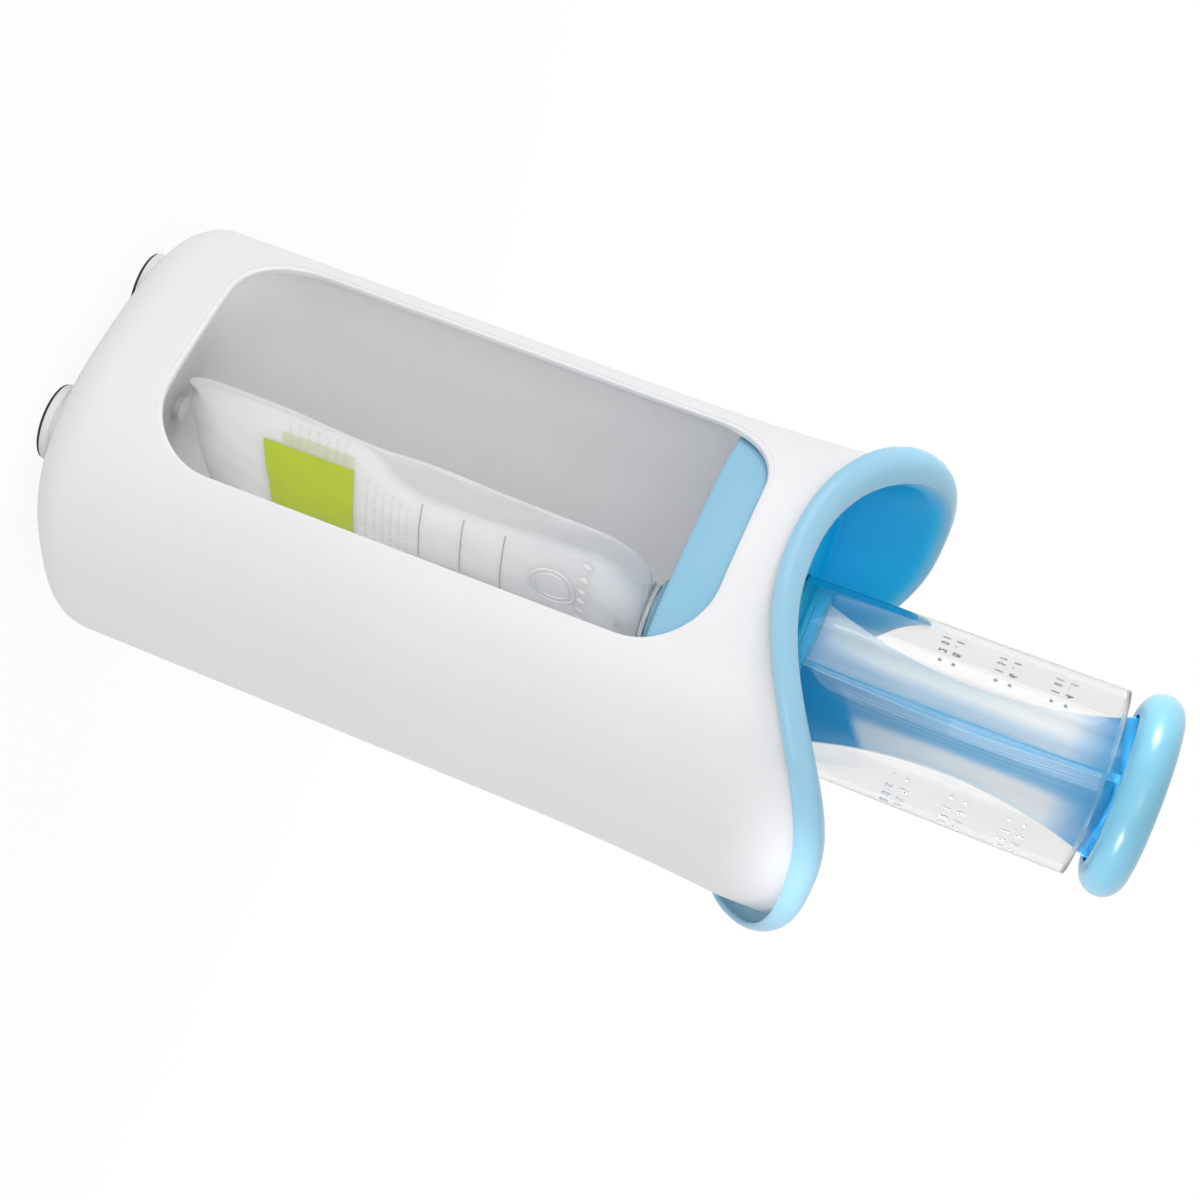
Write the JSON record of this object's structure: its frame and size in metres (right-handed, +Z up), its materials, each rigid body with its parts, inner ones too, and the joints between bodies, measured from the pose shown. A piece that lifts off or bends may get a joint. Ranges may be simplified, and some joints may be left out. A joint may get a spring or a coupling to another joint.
{
  "type": "food pouch filling station",
  "caption": "Upright baby-food pouch filler: a windowed housing with a lobed drip tray, a clear measuring tube with a hand plunger, and a pouch hung by its spout under the tray.",
  "frame": {"origin": "on the table, under the middle of the collar, 2 mm behind the tube's axis", "axes": "+Z up along the tube from the feet to the plunger's handle, -Y out of the window, +X to the right as seen from the front, the window side; the lobes of the collar lie at +X and -X"},
  "size_m": [0.1132, 0.0996, 0.2658],
  "materials": {
    "white_plastic": "smooth satin",
    "blue_plastic": "smooth gloss",
    "bright_blue_plastic": "smooth gloss",
    "clear_plastic": "clear, polished",
    "silicone": "satin, milky",
    "steel": "plain",
    "black_rubber": "matte",
    "pouch_film": "thin translucent film",
    "spout_plastic": "smooth"
  },
  "bodies": {
    "station": {"housing": "white_plastic", "collar": "blue_plastic", "tray": "blue_plastic", "tube_gasket": "silicone", "spout_clip": "blue_plastic", "clip_screws": "steel", "foot_cup_front_left": "white_plastic", "foot_cup_front_right": "white_plastic", "foot_cup_back_left": "white_plastic", "foot_cup_back_right": "white_plastic", "foot_pad_front_left": "black_rubber", "foot_pad_front_right": "black_rubber", "foot_pad_back_left": "black_rubber", "foot_pad_back_right": "black_rubber", "foot_screws": "steel"},
    "tube": {"tube": "clear_plastic"},
    "seal": {"piston_seal": "silicone"},
    "plunger": {"piston_head": "bright_blue_plastic", "plunger_shaft": "blue_plastic", "plunger_handle": "blue_plastic", "handle_cap": "blue_plastic"},
    "pouch": {"pouch_bag": "pouch_film", "pouch_spout": "spout_plastic"}
  },
  "joints": [
    {"name": "tube_lift", "type": "slide", "parent": "station", "child": "tube", "axis": [0, 0, 1], "range_m": [0, 0.035]},
    {"name": "plunger_slide", "type": "slide", "parent": "tube", "child": "seal", "axis": [0, 0, 1], "range_m": [-0.003, 0.07]},
    {"name": "plunger_turn", "type": "hinge", "parent": "seal", "child": "plunger", "pos_m": [0, -0.00195, 0.176], "axis": [0, 0, 1], "continuous": true},
    {"name": "pouch_release", "type": "slide", "parent": "station", "child": "pouch", "axis": [0, 0, -1], "range_m": [0, 0.015]}
  ]
}
